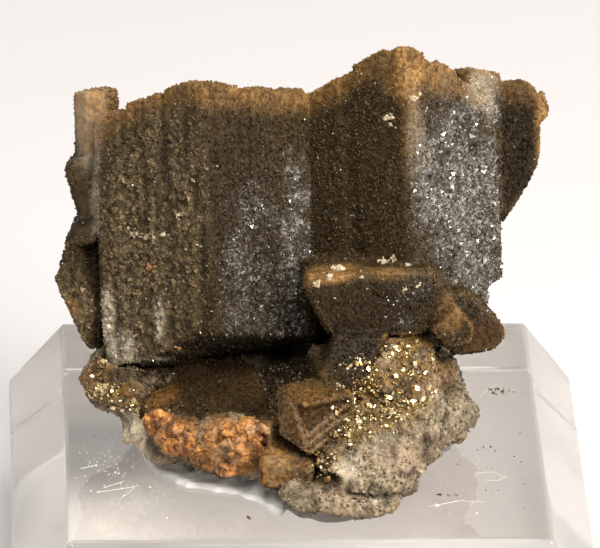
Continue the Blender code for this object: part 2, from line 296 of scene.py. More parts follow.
# Pale or orange specks on the crystals, of some grains each: place, size, and 0 for pale or 1 for
# orange.
FLECK_GRAINS = 10
FLECKS = (
    ((-15.0, -2.1, 20.3), 0.4, 0.0),
    ((-14.1, -2.8, 20.4), 0.42, 0.0),
    ((-13.3, -3.5, 20.5), 0.25, 0.0),
    ((-12.5, -4.2, 21.0), 0.3, 0.0),
    ((-11.1, -4.9, 23.2), 0.32, 0.0),
    ((-9.4, -6.4, 21.1), 0.22, 0.0),
    ((-13.4, -3.6, 17.6), 0.5, 1.0),
    ((-11.4, -5.3, 11.2), 0.35, 0.8),
    ((7.0, -2.0, 31.2), 0.42, 0.1),
    ((8.9, -1.9, 32.7), 0.36, 0.2),
    ((2.5, -6.4, 18.9), 0.5, 0.0),
    ((1.8, -8.0, 18.8), 0.34, 0.1),
    ((6.4, -5.2, 18.9), 0.48, 0.0),
    ((7.3, -5.1, 19.0), 0.34, 0.0),
    ((0.6, -8.6, 18.6), 0.36, 0.15),
    ((4.4, -7.8, 18.8), 0.22, 0.1),
    ((8.6, -5.8, 18.6), 0.3, 0.0),
    ((9.4, -6.4, 17.6), 0.26, 0.0),
    ((8.2, -7.4, 17.4), 0.2, 0.0),
)

# Where the putty is white, and the rim on which it runs out past the rock there. How far it is cut
# back elsewhere, how high its rim and its middle stand, and how finely it is modelled.
PUTTY_WHITE = (
    ((-10.5, -9.0, 0.4), (8.0, 8.0, 3.0), 1.0),
    ((-4.2, -14.4, 0.4), (3.8, 3.4, 3.0), 0.8),
)
PUTTY_RIM = (
    (-13.4, 0.0), (-14.5, -3.0), (-13.6, -6.8), (-12.4, -8.8), (-11.4, -10.0), (-10.2, -11.2),
    (-8.4, -11.8), (-6.2, -12.9), (-4.6, -14.0), (-3.4, -15.4), (-2.4, -16.6),
)
PUTTY_CUT = 1.4
PUTTY_LIP = 0.4
PUTTY_HEIGHT = 1.2
PUTTY_SIDES = 320
PUTTY_RINGS = 22

# Dust on the block's top: its height, how far it stays off the bevels, and for each heap the
# middle, the half sizes, how many specks there are and their size.
DUST_HEIGHT = 0.02
DUST_EDGE = 0.3
PALE_DUST = (
    ((-17.0, -6.0), (2.8, 6.5), 200, 0.05),
    ((-14.0, -13.5), (5.0, 2.6), 90, 0.045),
    ((-16.8, -8.0), (3.0, 5.0), 8, 0.08),
    ((13.0, -14.0), (6.0, 4.0), 60, 0.04),
)
DARK_DUST = (
    ((17.4, 7.2), (1.7, 0.7), 30, 0.09),
    ((16.4, -3.9), (1.6, 0.5), 16, 0.07),
    ((11.4, -12.4), (0.2, 0.15), 5, 0.18),
    ((12.6, -12.6), (0.6, 0.4), 6, 0.1),
    ((-5.3, -16.6), (0.1, 0.1), 2, 0.14),
    ((14.0, -8.0), (5.0, 7.0), 60, 0.05),
)

# The block's tint, how far its edges are rounded, and the patch of painted grey shade and the milky
# patch of its underside: middle and half sizes.
PLASTIC_TINT = (1.0, 0.965, 0.93)
ROUNDING = 0.5
PAINTED_SHADE_PATCH = ((-17.5, 10.0, 0.0), (9.0, 10.0, 10.0))
MILKY_PATCH = ((-10.0, -10.0, 0.0), (24.0, 26.0, 26.0))

# Fine scratches on the block's top: the points that each one runs through, then their width and the
# heights of their feet and ridges.
SCRATCHES = (
    ((-18.2, -11.8), (-16.6, -11.4), (-14.9, -10.8)),
    ((-17.6, -11.0), (-15.8, -9.8)),
    ((-16.1, -12.9), (-15.4, -11.9), (-14.9, -10.9)),
    ((-15.2, -7.1), (-14.0, -5.5)),
    ((-19.6, -7.4), (-18.4, -7.0)),
    ((14.8, -8.6), (15.4, -8.3), (16.3, -8.3), (17.4, -9.4)),
    ((15.5, -9.8), (16.6, -9.9), (17.4, -9.0)),
    ((14.7, -7.0), (15.1, -6.2), (15.0, -5.1)),
    ((15.9, 6.0), (16.9, 7.7), (17.6, 8.3)),
    ((18.2, 7.1), (19.0, 7.3)),
    ((10.4, -14.6), (13.0, -13.6), (15.2, -13.9)),
)
SCRATCH_WIDTH = 0.035
SCRATCH_LOW = 0.005
SCRATCH_HIGH = 0.03

# Nested V-shaped growth steps on the front crystal: the lowest point of the V as (x, z), the slopes
# of its arms, the y of the crystal's front, how far they reach to the sides and up, and the width,
# the depth and the number of the steps.
STEPS_POINT = (-0.25, 5.0)
STEPS_SLOPES = (2.8, 0.55)
STEPS_FRONT = -13.2
STEPS_REACH = 3.8
STEPS_TOP = 9.6
STEP_WIDTH = 0.75
STEP_DEPTH = 0.2
STEP_COUNT = 3

# The knobs of the orange crust that stand out of the rock: centre and half sizes.
CRUST_LUMPS = (
    ((-12.9, -8.7, 5.4), (1.2, 1.1, 0.8)),
    ((-11.6, -9.6, 4.9), (1.3, 1.1, 0.8)),
    ((-10.2, -10.8, 4.2), (1.2, 1.1, 0.9)),
    ((-8.9, -11.8, 3.5), (1.2, 1.0, 0.8)),
    ((-8.1, -11.6, 5.0), (1.1, 1.0, 0.8)),
    ((-6.8, -12.2, 5.5), (1.2, 1.0, 1.0)),
    ((-5.3, -12.0, 6.3), (1.1, 1.0, 0.8)),
    ((-4.4, -12.0, 6.2), (1.0, 1.0, 0.8)),
    ((-6.1, -12.9, 4.2), (1.3, 1.0, 1.2)),
    ((-4.8, -12.9, 4.6), (1.0, 0.9, 1.2)),
    ((-6.9, -13.0, 3.0), (1.0, 0.9, 0.7)),
)

# The floor's half size, how far it lies below the block, and the place that the lights are aimed at.
FLOOR_REACH = 700.0
FLOOR_GAP = 0.05
LIGHTS_AIM = (0.0, 0.0, 16.0)


def main():
    add_camera()
    siderite = siderite_material()
    crystals, zones = make_crystals(siderite)
    make_frosting(crystals, zones, siderite)
    make_flecks(crystals)
    rock = make_rock()
    make_brassy_crystals((rock, crystals))
    make_orange_crust()
    make_putty()
    make_dust()
    make_scratches()
    make_block()
    add_floor()
    add_lights()


def in_frame(points):
    """Places in millimetres from the block's top face, in metres in the frame."""
    return np.asarray(points, float) * MM + LIFT


def new_object(name, data):
    made = bpy.data.objects.new(name, data)
    bpy.context.scene.collection.objects.link(made)
    return made


def add_camera():
    """Turns the camera about its target, and then moves it back."""
    camera = new_object("camera", bpy.data.cameras.new("camera"))
    place = Matrix.Translation(Vector(in_frame(CAMERA_TARGET)))
    for angle, axis in CAMERA_TURNS:
        place = place @ Matrix.Rotation(math.radians(angle), 4, axis)
    camera.matrix_world = place @ Matrix.Translation((0.0, 0.0, CAMERA_DISTANCE * MM))
    camera.data.sensor_fit = "HORIZONTAL"
    camera.data.sensor_width = CAMERA_SENSOR
    camera.data.lens = CAMERA_LENS
    camera.data.clip_start = 0.01
    bpy.context.scene.camera = camera


def hashed(cells, seed):
    """A number from 0 to 1 for each whole-number cell."""
    mixed = cells[..., 0] * 73856093 + cells[..., 1] * 19349663 + cells[..., 2] * 83492791 + seed * 2654435
    for shift, factor in ((13, 1274126177), (16, 2246822519)):
        mixed = (mixed ^ (mixed >> shift)) & 0xFFFFFFFF
        mixed = (mixed * factor) & 0xFFFFFFFF
    return ((mixed ^ (mixed >> 15)) & 0xFFFFFF) / float(0xFFFFFF)


def hashed_vectors(cells, seed):
    """Three such numbers for each cell."""
    return np.stack([hashed(cells, seed + axis) for axis in range(3)], axis=1)


def waves(points, seed):
    """Smooth noise from -1 to 1, with features one unit apart."""
    cells = np.floor(points).astype(np.int64)
    part = points - cells
    part = part * part * (3.0 - 2.0 * part)
    total = np.zeros(len(points))
    for corner in np.ndindex(2, 2, 2):
        weight = np.prod(np.where(np.array(corner) == 1, part, 1.0 - part), axis=1)
        total += weight * hashed(cells + corner, seed)
    return 2.0 * total - 1.0


def rough(points, octaves, seed):
    """Noise with finer and finer features."""
    return sum(waves(points * 2.0 ** octave, seed + octave) / 2.0 ** octave for octave in range(octaves))


def nearest_centres(points, seed):
    """The nearest of many scattered centres, about one unit apart, for each point: how far away it
    is, the way from it to the point, and its cell."""
    home = np.floor(points).astype(np.int64)
    nearest = np.full(len(points), np.inf)
    away = np.zeros(points.shape)
    cell = home.copy()
    for offset in np.ndindex(3, 3, 3):
        there = home + offset - 1
        way = points - there - hashed_vectors(there, seed + 11)
        distance = np.linalg.norm(way, axis=1)
        closer = distance < nearest
        nearest[closer] = distance[closer]
        away[closer] = way[closer]
        cell[closer] = there[closer]
    return nearest, away, cell


def pebbles(points, seed):
    """How far each point is from the nearest centre, and a number from 0 to 1 for that centre."""
    nearest, _, cell = nearest_centres(points, seed)
    return nearest, hashed(cell, seed + 14)


def facets(points, seed):
    """The relief of broken stone: the ground round each centre is a flat facet that slopes some way
    of its own."""
    _, away, cell = nearest_centres(points, seed)
    slope = unit(hashed_vectors(cell, seed + 14) - 0.5)
    return (away * slope).sum(axis=1) + hashed(cell, seed + 17) - 0.5


def shown(points, patches):
    """How strongly the patches show at each point."""
    most = np.zeros(len(points))
    for centre, reach, strength in patches:
        away = np.linalg.norm((points - centre) / reach, axis=1)
        most = np.maximum(most, strength * fade(away, *PATCH_RIM))
    return most


def fade(values, start, end):
    """From 0 at the start to 1 at the end, smoothly."""
    part = np.clip((values - start) / (end - start), 0.0, 1.0)
    return part * part * (3.0 - 2.0 * part)


def clipped(fields):
    return {name: np.clip(values, 0.0, 1.0) for name, values in fields.items()}


def unit(vectors):
    return vectors / np.maximum(np.linalg.norm(vectors, axis=-1, keepdims=True), 1e-9)


def modified(mesh, kind, **settings):
    """A copy of a mesh as one of Blender's modifiers leaves it."""
    helper = new_object("helper", mesh)
    modifier = helper.modifiers.new("helper", kind)
    for name, value in settings.items():
        setattr(modifier, name, value)
    depsgraph = bpy.context.evaluated_depsgraph_get()
    result = bpy.data.meshes.new_from_object(helper.evaluated_get(depsgraph))
    bpy.data.objects.remove(helper)
    return result


def remeshed(mesh, voxel):
    """The same shape as an even mesh of small quads."""
    return modified(mesh, "REMESH", mode="VOXEL", voxel_size=voxel * MM)


def thinned(mesh, triangles):
    """The same shape with fewer triangles, which are the larger the flatter it is."""
    mesh.calc_loop_triangles()
    return modified(mesh, "DECIMATE", ratio=min(1.0, triangles / len(mesh.loop_triangles)))


def dense_node(node, voxel):
    """A CAD node's shape as an even mesh. The node itself stays as it is."""
    shape = bmesh.new()
    shape.from_mesh(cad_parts[node].data)
    bmesh.ops.remove_doubles(shape, verts=shape.verts, dist=WELD)
    return remeshed(mesh_of(shape, node + "_welded"), voxel)


def mesh_of(shape, name):
    mesh = bpy.data.meshes.new(name)
    shape.to_mesh(mesh)
    shape.free()
    return mesh


def mesh_from(name, points, faces):
    mesh = bpy.data.meshes.new(name)
    mesh.from_pydata(in_frame(points), [], faces)
    return mesh


def read_points(mesh):
    """A mesh's points in millimetres from the block's top face, and the directions they face."""
    places = np.empty(len(mesh.vertices) * 3)
    mesh.vertices.foreach_get("co", places)
    normals = np.empty(len(mesh.vertices) * 3)
    mesh.vertex_normals.foreach_get("vector", normals)
    return (places.reshape(-1, 3) - LIFT) / MM, unit(normals.reshape(-1, 3))


def raise_points(mesh, points, normals, height):
    """Moves a mesh's points along the directions they face."""
    mesh.vertices.foreach_set("co", in_frame(points + normals * height[:, None]).ravel())
    mesh.update()


def add_values(mesh, **values):
    """Gives a mesh's points named numbers that its material reads."""
    for name, numbers in values.items():
        attribute = mesh.attributes.new(name, "FLOAT", "POINT")
        attribute.data.foreach_set("value", np.asarray(numbers, np.float32))


def add_piece(name, mesh, material, replaces=None, smooth=False):
    """Shows a mesh as a piece of the specimen."""
    piece = new_object(name, mesh)
    mesh.materials.clear()
    mesh.materials.append(material)
    mesh.polygons.foreach_set("use_smooth", np.full(len(mesh.polygons), smooth))
    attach(piece, "root")
    if replaces:
        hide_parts(replaces)


def make_crystals(material):
    """The crystals' own faces, uneven under the frosting."""
    mesh = dense_node("siderite_crystals", CRYSTAL_VOXEL)
    points, normals = read_points(mesh)
    add_values(mesh, edge=edges_of(mesh, points, normals))
    # The side faces are grooved, and the olive left faces are the coarsest.
    grooves = streaks(points) * fade(1.0 - np.abs(normals @ RISE), 0.35, 0.7)
    coarse = shown(points, OLIVE) * fade(normals @ LEFT_FACE, 0.5, 0.8)
    pebble, _ = pebbles(points / 0.44, seed=21)
    height = grooves * (0.025 + 0.14 * shown(points, RIBBED) + 0.07 * coarse)
    height += 0.05 * waves(points / 2.6, seed=7) + 0.14 * (0.45 - pebble) * (0.45 + 1.1 * coarse)
    height += 0.12 * (0.4 - pits(points)) * coarse
    # Bare faces and the crystals' upper ends are smoother.
    height *= (1.0 - 0.85 * shown(points, BARE)) * (1.0 - 0.5 * fade(points[:, 2], 29.0, 33.0))
    raise_points(mesh, points, normals, height - growth_steps(points)[0])
    mesh = thinned(mesh, CRYSTAL_TRIANGLES)
    points, normals = read_points(mesh)
    edge = np.empty(len(points), np.float32)
    mesh.attributes["edge"].data.foreach_get("value", edge)
    crystals = (mesh, points, normals)
    zones = crystal_zones(crystals, edge)
    # The steps' edges get painted shade, as in creases.
    _, zones["groove_shade"], arms, core = growth_steps(points)
    zones["pale"] = np.maximum(zones["pale"], 0.2 * arms)
    # Painted shade in the frosting's hollows and grooves on the olive faces, and in the steps' core.
    shadow = np.maximum(0.75 * pits(points), 0.7 * fade(streaks(points), -0.1, -0.7))
    zones["dark"] = np.maximum.reduce((zones["dark"], 0.7 * core, shadow * zones["olive"]))
    add_values(mesh, tone=0.3 + 0.25 * waves(points / 0.35, seed=9), **zones)
    add_piece("siderite_faces", mesh, material, replaces="siderite_crystals", smooth=True)
    return crystals, zones


def edges_of(mesh, points, normals):
    """1 on the crystals' outward edges and 0 on their faces: how far each point stands out of the
    middle of the points around it."""
    pairs = np.empty(len(mesh.edges) * 2, np.int32)
    mesh.edges.foreach_get("vertices", pairs)
    first, second = pairs.reshape(-1, 2).T
    count = 1.0 + np.bincount(pairs, minlength=len(points))
    middle = points.copy()
    for _ in range(EDGE_ROUNDS):
        for axis in range(3):
            part = middle[:, axis]
            total = part + np.bincount(first, part[second], len(points))
            middle[:, axis] = (total + np.bincount(second, part[first], len(points))) / count
    return fade(((points - middle) * normals).sum(axis=1), *EDGE_RANGE)


def streaks(points):
    """Uneven streaks along the crystals' rise, from -1 to 1."""
    along = (points @ RISE)[:, None] * RISE
    return rough((points - 0.94 * along) * 1.2, 2, seed=3)


def pits(points):
    """1 in the small hollows between the clumps of frosting."""
    clump, _ = pebbles(points / 0.55, seed=23)
    return fade(clump, 0.42, 0.72)


def growth_steps(points):
    """How deep the nested growth steps are cut into the front crystal, and where their edges, their
    arms and the innermost hollow are."""
    x, y, z = points.T
    aside = np.abs(x - STEPS_POINT[0])
    slope = np.where(x < STEPS_POINT[0], *STEPS_SLOPES)
    inside = (z - STEPS_POINT[1] - slope * aside) / STEP_WIDTH
    near = fade(y, STEPS_FRONT + 1.2, STEPS_FRONT) * (aside < STEPS_REACH)
    near = near * fade(z, STEPS_TOP + 0.3, STEPS_TOP - 0.2)
    depth = near * np.clip(np.floor(inside), 0, STEP_COUNT) * STEP_DEPTH
    part = inside - np.floor(inside)
    edges = near * fade(part, 0.42, 0.15) * (inside > 0.8)
    arms = near * fade(np.abs(part - 0.75), 0.25, 0.05) * (inside < STEP_COUNT)
    core = near * fade(inside, STEP_COUNT, STEP_COUNT + 0.3)
    return depth, edges, arms, core


def crystal_zones(crystals, edge):
    """Where the crystals get a painted glow of light shining through them and a painted silvery
    sheen, and where they look pale, olive, tan, or darker, partly as painted shade.
    """
    _, points, normals = crystals
    # The glow is painted light: a warmer, lighter colour near the crystals' upper ends and on their edges.
    rim = fade(distance_to_top(crystals), 2.8, 0.3) * fade(points[:, 2], 24.0, 28.0)
    glow = np.maximum.reduce((rim * 0.78, shown(points, GLOW), edge * shown(points, EDGED)))
    right = fade(normals @ RIGHT_FACE, 0.7, 0.9)
    left = fade(normals @ LEFT_FACE, 0.6, 0.85)
    # The painted sheen lies on the faces that turn towards the light at the right.
    painted_sheen = np.maximum(right * shown(points, PAINTED_SHEEN), shown(points, PAINTED_SHEEN_ALL_ROUND))
    uneven = 0.85 + 0.35 * waves(points / 1.6, seed=33) + 0.45 * waves(points / 0.55, seed=34)
    return clipped({
        "glow": glow * (0.8 + 0.45 * waves(points / 1.1, seed=31)),
        "painted_sheen": painted_sheen * uneven,
        "pale": shown(points, PALE) * (0.85 + 0.6 * waves(points / 0.5, seed=35)),
        "olive": left * shown(points, OLIVE),
        "tan": shown(points, TAN) * (0.85 + 0.3 * waves(points / 1.2, seed=37)),
        # Painted shade on the faces that turn downwards.
        "dark": np.maximum(shown(points, DARK_AND_SHADE), fade(-normals[:, 2], 0.35, 0.6)),
    })


def tree_of(mesh, points):
    return BVHTree.FromPolygons(points.tolist(), [tuple(face.vertices) for face in mesh.polygons])


def distance_to_top(crystals):
    """How far below the crystal's upper end each point lies, measured inside the crystal."""
    mesh, points, normals = crystals
    tree = tree_of(mesh, points)
    lengths = np.full(len(points), FAR_BELOW)
    for index, start in enumerate(points - normals * PROBE_DEPTH):
        found = tree.ray_cast(Vector(start), Vector(RISE), PROBE_LENGTH)
        if found[0] is not None:
            lengths[index] = found[3]
    return lengths


def rhomb_corners():
    """A rhombohedron with its top face in the plane z = 0, centred there, with edges of 1."""
    turn = math.cos(RHOMB_ANGLE)
    across = math.sin(RHOMB_ANGLE)
    first = np.array((1.0, 0.0, 0.0))
    second = np.array((turn, across, 0.0))
    inward = np.array((turn, (turn - turn * turn) / across, 0.0))
    inward[2] = -math.sqrt(1.0 - inward @ inward)
    corners = [i * first + j * second + k * inward for k in (0, 1) for j in (0, 1) for i in (0, 1)]
    return np.array(corners) - (first + second) / 2.0


def face_axes(normals):
    """The edge of each face that runs with the rise, and the way across it."""
    steep = np.abs(normals @ RISE) > 0.8
    rise = np.where(steep[:, None], TOP_EDGE, RISE)
    along = unit(rise - (rise * normals).sum(1)[:, None] * normals)
    return along, np.cross(normals, along)


def make_frosting(crystals, zones, material):
    """The corners of small crystals that cover the faces, in a few joined meshes."""
    _, points, normals = crystals
    chance = np.random.default_rng(5)
    share = 1.0 - 0.92 * shown(points, BARE)
    share *= 1.0 - (1.0 - BACK_SHARE) * fade(normals[:, 1], 0.0, 0.3)
    share *= 1.0 - in_the_rock(points)
    place, facing, where = scattered(crystals, GRAINS_PER_MM2 * share, chance)
    here = {name: read_at(values, where) for name, values in zones.items()}
    painted_sheen, olive = here["painted_sheen"], here["olive"]
    count = len(place)
    # The grains are larger where the faces get the painted sheen, and at the back, where there are
    # fewer of them.
    reach = GRAIN_REACH * np.exp(0.25 * chance.standard_normal(count)).clip(0.5, 1.8)
    reach *= 1.0 + 0.38 * painted_sheen - 0.14 * olive + 0.35 * fade(facing[:, 1], 0.0, 0.3)
    reach *= 1.0 - 0.48 * np.maximum(here["glow"], here["tan"])
    big = chance.random(count) < 0.05 * olive
    reach *= np.where(big, 1.45, 1.0)
    shiny = (painted_sheen > 0.2 + 0.55 * chance.random(count)) | (chance.random(count) < 0.15)
    reach *= np.where(shiny, 0.72 + 0.28 * painted_sheen, 1.0)
    corners = pyramids(place, facing, reach, GRAIN_LEAN * (1.0 + 1.3 * painted_sheen + 1.1 * olive), chance)
    here["tone"] = np.where(big, 0.5, 0.0) + np.where(big, 0.5, 0.85) * chance.random(count)
    kinds = (("siderite_frosting", ~shiny, material), ("sheen_frosting", shiny, sheen_material()))
    for name, which, look in kinds:
        members = np.flatnonzero(which)
        for number, start in enumerate(range(0, len(members), GRAINS_PER_PIECE)):
            part = members[start:start + GRAINS_PER_PIECE]
            piece = joined(corners[part], **{key: field[part] for key, field in here.items()})
            add_piece(f"{name}_{number + 1}", piece, look)


def scattered(ground, per_mm2, chance):
    """Random places on a mesh, the ways that they face, and the corners of the triangles they are in
    with the corners' weights."""
    mesh, points, normals = ground
    mesh.calc_loop_triangles()
    triangles = np.empty(len(mesh.loop_triangles) * 3, np.int32)
    mesh.loop_triangles.foreach_get("vertices", triangles)
    triangles = triangles.reshape(-1, 3)
    first, second, third = (points[triangles[:, corner]] for corner in range(3))
    area = np.linalg.norm(np.cross(second - first, third - first), axis=1) / 2.0
    counts = chance.poisson(area * per_mm2[triangles].mean(axis=1))
    chosen = triangles[np.repeat(np.arange(len(triangles)), counts)]
    root, part = np.sqrt(chance.random(len(chosen))), chance.random(len(chosen))
    where = chosen, np.stack((1.0 - root, root * (1.0 - part), root * part), axis=1)
    return read_at(points, where), unit(read_at(normals, where)), where


def read_at(values, where):
    """The values of a mesh's points, read between the points."""
    corners, weights = where
    if values.ndim == 2:
        weights = weights[:, :, None]
    return (values[corners] * weights).sum(axis=1)


def pyramids(places, normals, reach, lean, chance):
    """Corners of one three-sided pyramid for each place, the corner of a small rhombohedron. All of
    them stand alike, apart from their lean."""
    count = len(places)
    facing = unit(normals + chance.standard_normal((count, 3)) * np.reshape(lean, (-1, 1)))
    along, across = face_axes(facing)
    corners = np.empty((count, 4, 3))
    for number, angle in enumerate((45.0, 165.0, 285.0)):
        turn = math.radians(angle) + chance.normal(0.0, 0.35, count)
        length = reach * (1.0 + 0.2 * chance.standard_normal(count)).clip(0.6, 1.5)
        foot = across * (length * np.cos(turn))[:, None] + along * (length * np.sin(turn))[:, None]
        corners[:, number] = places + foot - facing * (0.25 * reach)[:, None]
    corners[:, 3] = places + facing * (reach * (0.45 + 0.6 * chance.random(count)))[:, None]
    return corners


def in_the_rock(points):
    """1 where a point of the crystals is buried in the rock."""
    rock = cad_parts["matrix"].data
    tree = tree_of(rock, read_points(rock)[0])
    return np.array([tree.find_nearest(Vector(point), 0.5)[0] is not None for point in points], float)


def rhombs(places, normals, sizes, lean, proud, chance):
    """Corners and faces of one rhombohedron for each place."""
    count = len(places)
    facing = unit(normals + chance.standard_normal((count, 3)) * lean)
    along, across = face_axes(facing)
    turn = chance.normal(0.0, 0.22, count)[:, None]
    cosine, sine = np.cos(turn), np.sin(turn)
    along, across = along * cosine + across * sine, across * cosine - along * sine
    side = np.where(facing[:, 0] * across[:, 0] + 1e-3 * chance.standard_normal(count) > 0, 1.0, -1.0)
    edges = sizes[:, None] * (1.0 + 0.25 * chance.standard_normal((count, 3))).clip(0.5, 1.6)
    local = rhomb_corners() * edges[:, None, :]
    local[:, :, 2] += (sizes * proud * (0.4 + 1.2 * chance.random(count)))[:, None]
    corners = places[:, None, :] + local @ np.stack((along, across * side[:, None], facing), axis=1)
    return corners, np.where((side > 0)[:, None, None], RHOMB_FACES, RHOMB_FACES[:, ::-1])


def joined(corners, faces=PYRAMID_FACES, **values):
    """One mesh of many small solids that all have the same number of corners and faces."""
    count, each = corners.shape[:2]
    faces = faces + (np.arange(count) * each)[:, None, None]
    mesh = mesh_from("joined", corners.reshape(-1, 3), faces.reshape(-1, faces.shape[2]))
    add_values(mesh, **{key: np.repeat(field, each) for key, field in values.items()})
    return mesh


def make_rock():
    """The crumbly rock, which fills the gaps to the crystals, and has an orange crust at its left."""
    mesh = dense_node("matrix", ROCK_VOXEL)
    points, normals = read_points(mesh)
    crust = shown(points, CRUST)
    lumps, _ = pebbles(points / 1.5, seed=53)
    grit, _ = pebbles(points / 0.5, seed=55)
    rugged = 0.3 * rough(points / 2.4, 3, seed=51) + 0.1 * (0.5 - lumps)
    rugged += 0.3 * facets(points / 1.6, seed=54) + 0.08 * (0.5 - grit)
    blocky = 0.35 + 0.34 * facets(points / 1.7, seed=71) + 0.08 * facets(points / 0.7, seed=72)
    height = 0.12 + rugged * (1.0 - crust) * (1.0 - 0.6 * shown(points, UMBER)) + blocky * crust
    height -= 0.3 * crack(points) + 0.9 * shown(points, HOLES)
    raise_points(mesh, points, normals, height)
    mesh = thinned(mesh, ROCK_TRIANGLES)
    points, normals = read_points(mesh)
    rock = (mesh, points, normals)
    lumps, owner = pebbles(points / 1.5, seed=53)
    # Painted shade in the crevices between lumps, in the holes, along the crack and in the SHADE patches.
    shaded_dents = np.maximum(shown(points, SHADE + HOLES), crack(points))
    zones = clipped({
        "stain": shown(points, STAIN) * (0.85 + 0.5 * waves(points / 1.1, seed=58)),
        "crust": 1.4 * shown(points, CRUST),
        "gold": shown(points, GOLD) * (0.9 + 0.5 * waves(points / 0.9, seed=59)),
        "yellow": shown(points, YELLOW),
        "hollow": np.maximum(0.8 * fade(lumps, 0.5, 0.85), shaded_dents),
        "umber": shown(points, UMBER),
    })
    material = rock_material()
    tone = 0.35 + 0.4 * owner + 0.25 * waves(points / 0.5, seed=57)
    add_values(mesh, tone=np.clip(tone, 0.0, 1.0), **zones)
    add_piece("rock_body", mesh, material, replaces="matrix", smooth=True)
    make_rock_grains(rock, zones, material)
    make_rock_frosting(rock, zones["umber"])
    return rock


def crack(points):
    """1 along the crack that runs across the front of the rock."""
    level = CRACK_HEIGHT - CRACK_SLOPE * points[:, 0] + 0.25 * waves(points / 1.4, seed=63)
    return shown(points, CRACK) * fade(np.abs(points[:, 2] - level), 0.28, 0.08)


def make_rock_grains(rock, zones, material):
    """Sand grains that stand out of the rock."""
    chance = np.random.default_rng(9)
    _, _, normals = rock
    share = (1.0 - 0.5 * zones["crust"]) * fade(normals[:, 2], -0.85, -0.6)
    place, facing, where = scattered(rock, ROCK_GRAINS_PER_MM2 * share, chance)
    reach = ROCK_GRAIN_REACH * np.exp(0.4 * chance.standard_normal(len(place))).clip(0.5, 2.2)
    corners = pyramids(place, facing, reach, ROCK_GRAIN_LEAN, chance)
    values = {name: read_at(field, where) for name, field in zones.items()}
    grains = joined(corners, tone=chance.random(len(place)), **values)
    add_piece("rock_grains", grains, material)


def make_rock_frosting(rock, umber):
    """Small crystals on the brown part of the rock, as on the big crystals."""
    _, points, normals = rock
    chance = np.random.default_rng(21)
    umber = fade(umber, 0.35, 0.8) * (1.0 - shown(points, CRUST)) * fade(normals[:, 2], -0.4, 0.0)
    place, facing, _ = scattered(rock, GRAINS_PER_MM2 * umber, chance)
    count = len(place)
    reach = GRAIN_REACH * np.exp(0.25 * chance.standard_normal(count)).clip(0.5, 1.8)
    corners = pyramids(place, facing, reach, GRAIN_LEAN, chance)
    tone, bright = chance.random(count), chance.random(count) < 0.12
    piece = joined(corners, tone=tone, dark=np.where(bright, 0.0, 0.4), pale=0.5 * bright)
    add_piece("rock_frosting", piece, siderite_material())


def make_brassy_crystals(grounds):
    """Small brassy crystals, which stand every way."""
    chance = np.random.default_rng(13)
    places, facings = [], []
    for ground in grounds:
        points = ground[1]
        clumps = fade(waves(points / 1.1, seed=61), -0.1, 0.4)
        place, facing, _ = scattered(ground, BRASS_PER_MM2 * shown(points, BRASS) * (0.15 + clumps), chance)
        places.append(place)
        facings.append(facing)
    places, facings = np.concatenate(places), np.concatenate(facings)
    sizes = BRASS_SIZE * np.exp(0.55 * chance.standard_normal(len(places))).clip(0.4, 3.0)
    corners, faces = rhombs(places + 0.08 * facings, facings, sizes, 1.5, 0.5, chance)
    mesh = joined(corners, faces, tone=chance.random(len(places)))
    add_piece("brassy_crystals", mesh, brass_material())


def make_flecks(crystals):
    """Clumps of pale or orange grains stuck to the crystals."""
    chance = np.random.default_rng(17)
    tree = tree_of(*crystals[:2])
    grains = []
    for centre, size, orange in FLECKS:
        for _ in range(FLECK_GRAINS):
            start = Vector(centre + chance.normal(0.0, 0.55 * size, 3))
            found, facing, _, _ = tree.find_nearest(start)
            grains.append((*found, *facing, size * chance.uniform(0.25, 0.75), orange))
    grains = np.array(grains)
    corners, faces = rhombs(grains[:, :3], grains[:, 3:6], grains[:, 6], 0.8, 0.6, chance)
    add_piece("pale_flecks", joined(corners, faces, tone=grains[:, 7]), fleck_material())


def make_orange_crust():
    """The highest knobs of the orange crust."""
    shape = bmesh.new()
    for centre, reach in CRUST_LUMPS:
        place = Matrix.Translation(Vector(in_frame(centre)))
        stretch = Matrix.Diagonal((*(Vector(reach) * MM), 1.0))
        bmesh.ops.create_icosphere(shape, subdivisions=3, radius=1.0, matrix=place @ stretch)
    mesh = remeshed(mesh_of(shape, "crust_lumps"), CRUST_VOXEL)
    points, normals = read_points(mesh)
    knobs, owner = pebbles(points / 0.9, seed=71)
    grit, _ = pebbles(points / 0.33, seed=73)
    height = 0.3 * facets(points / 1.5, seed=74) + 0.14 * facets(points / 0.6, seed=76)
    height += 0.12 * (0.5 - grit) + 0.14 * rough(points / 1.3, 2, seed=75)
    raise_points(mesh, points, normals, height)
    # Painted shade in the crevices between the knobs.
    add_values(mesh, tone=owner, hollow=fade(knobs, 0.38, 0.7))
    add_piece("orange_crust", mesh, crust_material())


